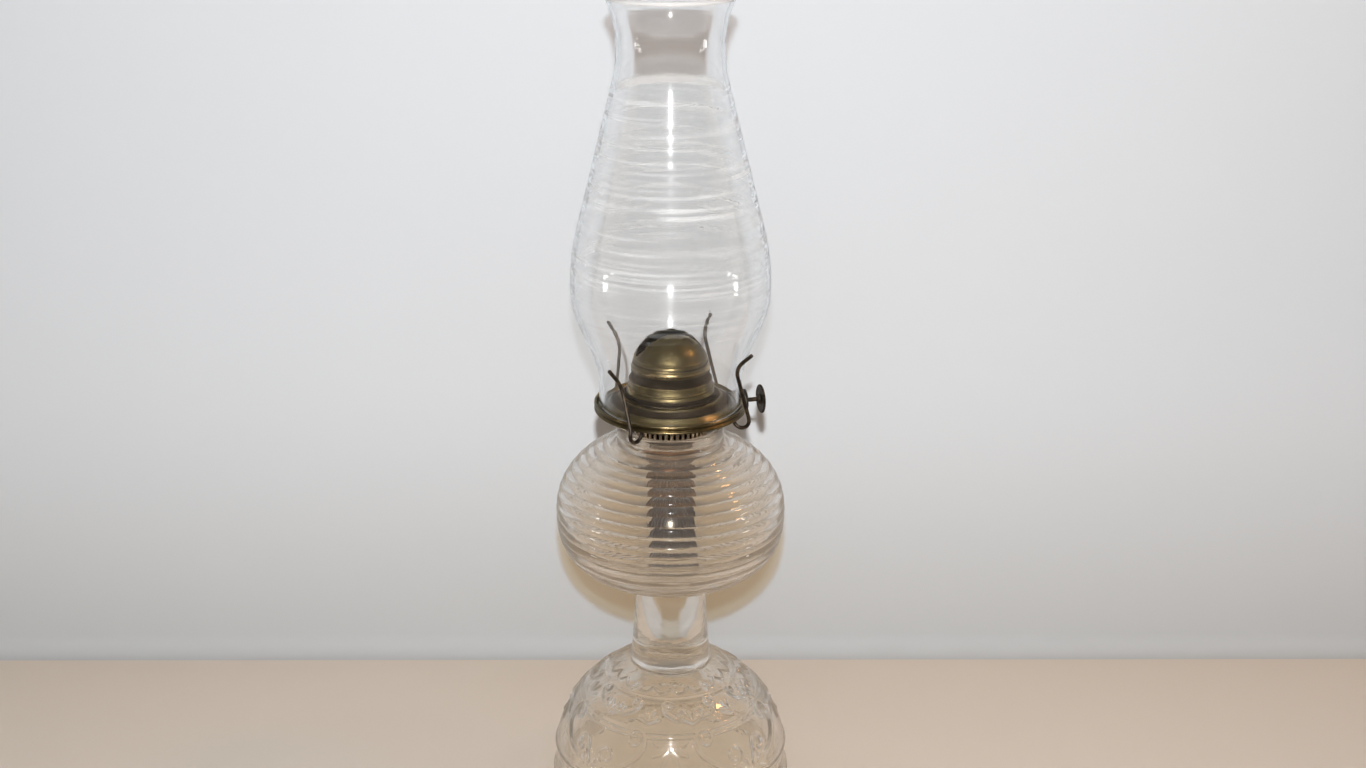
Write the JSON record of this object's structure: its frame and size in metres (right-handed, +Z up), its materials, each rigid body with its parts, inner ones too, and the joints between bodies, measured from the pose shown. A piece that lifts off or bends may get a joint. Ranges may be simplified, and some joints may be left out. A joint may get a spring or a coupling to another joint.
{
  "type": "oil lamp",
  "caption": "Table oil lamp: pressed glass foot, stem and ribbed font, brass flat-wick burner with wire prongs, and a clear glass chimney.",
  "frame": {"origin": "on the table, in the middle of the foot's ring", "axes": "+Z up along the lamp's own axis; the picture's camera looks from -Y; the thumb wheel is towards +X"},
  "size_m": [0.1344, 0.1344, 0.4431],
  "materials": {
    "clear_glass": "clear pressed glass, fire polished, with moulded relief",
    "chimney_glass": "clear blown glass with faint horizontal waves",
    "aged_brass": "brown aged sheet brass",
    "dark_brass": "dark tarnished stamped brass, worn bright on its beads",
    "dark_steel": "blackened spring steel",
    "plaster": "set plaster, matt",
    "wick_cotton": "woven cotton, stained brown above and blue-black below"
  },
  "bodies": {
    "lamp_base": {"pedestal": "clear_glass", "font": "clear_glass", "plaster_ring": "plaster", "collar": "aged_brass"},
    "burner": {"screw_shell": "aged_brass", "tube_plate": "aged_brass", "basket": "dark_brass", "wick_tube": "aged_brass", "vent_tube": "aged_brass", "wheel_box": "aged_brass", "deck": "dark_brass", "air_diffuser": "dark_brass", "flame_dome": "dark_brass", "shaft_sleeve": "aged_brass", "prong_front_left": "dark_steel", "prong_front_right": "dark_steel", "prong_back_right": "dark_steel", "prong_back_left": "dark_steel"},
    "wick_raiser": {"wick_shaft": "dark_steel", "wick_wheel_left": "dark_steel", "wick_wheel_middle": "dark_steel", "wick_wheel_right": "dark_steel", "thumb_wheel": "dark_brass"},
    "wick_band": {"wick": "wick_cotton"},
    "chimney_glass": {"chimney": "chimney_glass"}
  },
  "joints": [
    {"name": "burner_lift", "type": "slide", "parent": "lamp_base", "child": "burner", "axis": [0, 0, 1], "range_m": [0, 0.085]},
    {"name": "chimney_lift", "type": "slide", "parent": "burner", "child": "chimney_glass", "axis": [0, 0, 1], "range_m": [0, 0.06]},
    {"name": "thumb_wheel_turn", "type": "hinge", "parent": "burner", "child": "wick_raiser", "pos_m": [-0.00155, 0.006, 0.221], "axis": [-0.9681, -0.2504, 0], "range_deg": [-60, 150]},
    {"name": "wick_slide", "type": "slide", "parent": "burner", "child": "wick_band", "axis": [0, 0, 1], "range_m": [-0.0046, 0.0115]}
  ],
  "couplings": [
    {"joint": "thumb_wheel_turn", "follows": "wick_slide", "rad_per_m": 227.27}
  ]
}
